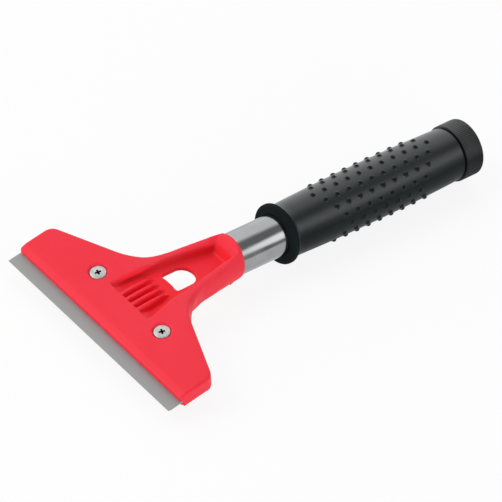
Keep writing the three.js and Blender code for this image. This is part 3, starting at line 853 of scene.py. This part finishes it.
# %% Rubber grip
GRIP_STEPS = 256
NET_STEP = 0.304 * MM
NUB_ROWS = 16
NUB_PITCH = 6.08 * MM
NUB_RADIUS = 1.1 * MM
NUB_HEIGHT = 0.75 * MM
NUBS_LONGEST_ROW = 11
COLLAR_LENGTH = 6.1 * MM
COLLAR_ROUND = 1.1 * MM
COLLAR_FALL = (1.9 * MM, 4.2 * MM)
COLLAR_RADIUS = 12.8 * MM
BORE_RADIUS = 9.0 * MM
BODY_RADIUS = 12.1 * MM
BODY_SWELL = 0.8 * MM
REAR_ROUND = 0.6 * MM
FALL_STEPS = 10
grip_start, grip_end = measures("grip_sleeve")[:2]
body_start = grip_start + COLLAR_LENGTH
body_middle = (body_start + grip_end) / 2
body_half = (grip_end - body_start) / 2


def sleeve_radius(along):
    """The radius of the grip's swelling body."""
    share = (along - body_middle) / body_half
    return BODY_RADIUS - BODY_SWELL * share * share


def arc(centre_along, centre_radius, size, start, stop, steps):
    """Points of a profile's rounded corner; angles in degrees, 0 towards the rear and 90 outwards."""
    points = []
    for step in range(steps + 1):
        angle = math.radians(start + (stop - start) * step / steps)
        points.append((centre_along + size * math.cos(angle), centre_radius + size * math.sin(angle)))
    return points


profile = [(grip_start, BORE_RADIUS)]
profile += arc(grip_start + COLLAR_ROUND, COLLAR_RADIUS - COLLAR_ROUND, COLLAR_ROUND, 180, 90, 10)
body_radius = sleeve_radius(body_start)
for step in range(FALL_STEPS + 1):
    along = grip_start + COLLAR_FALL[0] + (COLLAR_FALL[1] - COLLAR_FALL[0]) * step / FALL_STEPS
    height = 0.5 + 0.5 * math.cos(math.pi * step / FALL_STEPS)
    profile.append((along, body_radius + (COLLAR_RADIUS - body_radius) * height))
net_count = round((grip_end - body_start) / NET_STEP)
for step in range(1, net_count):
    along = body_middle + (step - net_count / 2) * NET_STEP
    if along < grip_end - REAR_ROUND:
        profile.append((along, sleeve_radius(along)))
profile += arc(grip_end - REAR_ROUND, sleeve_radius(grip_end) - REAR_ROUND, REAR_ROUND, 90, 0, 5)
profile.append((grip_end, BORE_RADIUS))
profile.append((grip_start, BORE_RADIUS))
work = spun(profile, GRIP_STEPS)

row_angle = 2 * math.pi / NUB_ROWS
nub_mark = work.verts.layers.float.new("nub")
for vertex in work.verts:
    radius = math.hypot(vertex.co.x, vertex.co.z)
    if not body_start + 0.5 * MM < vertex.co.y < grip_end - 1 * MM or radius < BORE_RADIUS + 0.5 * MM:
        continue
    angle = math.atan2(vertex.co.x, vertex.co.z)
    row = round(angle / row_angle + 0.25)
    off_row = (angle - (row - 0.25) * row_angle) * radius
    count = NUBS_LONGEST_ROW - abs((row % 8 + 4) % 8 - 4)
    middle_shift = NUB_PITCH / 2 * ((count + 1) % 2)
    nearest = round((vertex.co.y - body_middle - middle_shift) / NUB_PITCH)
    centre = body_middle + middle_shift + nearest * NUB_PITCH
    if abs(centre - body_middle) > (count - 0.5) / 2 * NUB_PITCH:
        continue
    reach = math.hypot(vertex.co.y - centre, off_row) / NUB_RADIUS
    if reach < 1:
        lift = NUB_HEIGHT * (1 - reach * reach) ** 0.7
        vertex[nub_mark] = lift / NUB_HEIGHT
        scale = (radius + lift) / radius
        vertex.co.x *= scale
        vertex.co.z *= scale
bmesh.ops.translate(work, vec=onto_axis, verts=work.verts)
finish_piece(work, "rubber_grip", "handle", "grip_sleeve", grip_rubber, 50)

# %% [markdown]
# The two screws are countersunk and have a cross recess. The turned body is spun about its own axis; the
# recess is cut with a Boolean by two crossed bars that narrow towards the bottom, as the punch that
# stamps it does. An attribute marks the recess, which is painted near black inside as painted shade.

# %% Screws
SCREW_OFFSET = SCREW_SPOT[0] * MM
SCREW_BEHIND_EDGE = SCREW_SPOT[1] * MM
HEAD_RADIUS = 3.3 * MM
SHANK_RADIUS = 1.9 * MM
HEAD_RIM = 0.2 * MM
CROSS_LENGTH = 3.9 * MM
CROSS_WIDTH = 1.05 * MM
CROSS_DEPTH = 1.3 * MM
CROSS_NARROWED = (0.35, 0.7)
HEAD_SUNK = -0.5 * MM


def plate_heights(node):
    """The lowest and highest point of a CAD node, measured square to the head's plate."""
    heights = [(to_plate @ vertex.co).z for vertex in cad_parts[node].data.vertices]
    return min(heights), max(heights)


def cross_cutter(turn):
    """Two crossed bars with narrow lower ends, for cutting the recess of a screw head."""
    work = bmesh.new()
    for quarter in (0, 1):
        made = bmesh.ops.create_cube(work, size=1)["verts"]
        bmesh.ops.scale(work, vec=(CROSS_LENGTH, CROSS_WIDTH, 2 * CROSS_DEPTH), verts=made)
        for vertex in made:
            if vertex.co.z < 0:
                vertex.co.x *= CROSS_NARROWED[0]
                vertex.co.y *= CROSS_NARROWED[1]
        spin = Matrix.Rotation(turn + quarter * math.pi / 2, 3, "Z")
        bmesh.ops.rotate(work, cent=(0, 0, 0), matrix=spin, verts=made)
    data = bpy.data.meshes.new("cross_cutter")
    work.to_mesh(data)
    work.free()
    cutter = bpy.data.objects.new("cross_cutter", data)
    bpy.context.scene.collection.objects.link(cutter)
    return cutter


def make_screw(side, turn, name, body, node):
    """One countersunk screw with its cross recess turned by an angle in degrees."""
    low, high = plate_heights(node)
    length = high - HEAD_SUNK - low
    cone = HEAD_RADIUS - SHANK_RADIUS
    profile = [
        (0, 0),
        (0, HEAD_RADIUS),
        (-HEAD_RIM, HEAD_RADIUS),
        (-HEAD_RIM - cone, SHANK_RADIUS),
        (-length, SHANK_RADIUS),
        (-length, 0),
    ]
    work = spun(profile, 48, axis=(0, 0, 1))
    round_rings(work, 0.1 * MM, 2, 40)
    data = bpy.data.meshes.new(name)
    work.to_mesh(data)
    work.free()
    cutter = cross_cutter(math.radians(turn))
    cutting = {"operation": "DIFFERENCE", "solver": "EXACT", "object": cutter, "use_self": True}
    cut = applied(data, ("BOOLEAN", cutting))
    bpy.data.objects.remove(cutter)
    # Painted shade: faces inside the cross recess are marked to be painted near black
    mark = cut.attributes.new("recess_shade", "FLOAT", "FACE")
    for face in cut.polygons:
        near_axis = math.hypot(face.center.x, face.center.y) < CROSS_LENGTH / 2
        mark.data[face.index].value = float(near_axis and -CROSS_DEPTH * 1.1 < face.center.z < -0.05 * MM)
    top = high - HEAD_SUNK
    cut.transform(plate_frame @ Matrix.Translation((side * SCREW_OFFSET, SCREW_BEHIND_EDGE, top)))
    cut.name = name
    finish_piece(cut, name, body, node, zinc_plate, 30)


make_screw(-1, 74, "left_clamp_screw", "left_screw", "clamp_screw_left")
make_screw(1, 66, "right_clamp_screw", "right_screw", "clamp_screw_right")

# %% [markdown]
# A thin hexagon nut sits under each screw, held in the back of the clamp plate. A nut is a six-sided bar
# whose corners were turned off to a cone, so it is made as the overlap of a hexagon and a spun, bored
# blank.

# %% Nuts
NUT_FLATS = 7 * MM
NUT_BORE = 1.95 * MM
NUT_CHAMFER = 0.28 * MM


def make_nut(side, name, node):
    """One hexagon nut with turned corners and a bore."""
    low, high = plate_heights(node)
    thick = high - low
    corner = NUT_FLATS / math.sqrt(3)
    blank_data = bpy.data.meshes.new("nut_blank")
    blank = spun(
        [
            (0, NUT_BORE),
            (0, NUT_FLATS / 2),
            (NUT_CHAMFER, corner),
            (thick - NUT_CHAMFER, corner),
            (thick, NUT_FLATS / 2),
            (thick, NUT_BORE),
            (0, NUT_BORE),
        ],
        48,
        axis=(0, 0, 1),
    )
    blank.to_mesh(blank_data)
    blank.free()
    work = bmesh.new()
    bmesh.ops.create_cone(
        work, cap_ends=True, segments=6, radius1=corner, radius2=corner, depth=thick * 2,
        matrix=Matrix.Translation((0, 0, thick / 2)) @ Matrix.Rotation(math.pi / 6, 4, "Z"),
    )
    hexagon_data = bpy.data.meshes.new("nut_hexagon")
    work.to_mesh(hexagon_data)
    work.free()
    hexagon = bpy.data.objects.new("nut_hexagon", hexagon_data)
    bpy.context.scene.collection.objects.link(hexagon)
    made = applied(blank_data, ("BOOLEAN", {"operation": "INTERSECT", "solver": "EXACT", "object": hexagon}))
    bpy.data.objects.remove(hexagon)
    made.transform(plate_frame @ Matrix.Translation((side * SCREW_OFFSET, SCREW_BEHIND_EDGE, low)))
    made.name = name
    finish_piece(made, name, "clamp", node, zinc_plate, 25)


make_nut(-1, "left_clamp_nut", "clamp_nut_left")
make_nut(1, "right_clamp_nut", "clamp_nut_right")
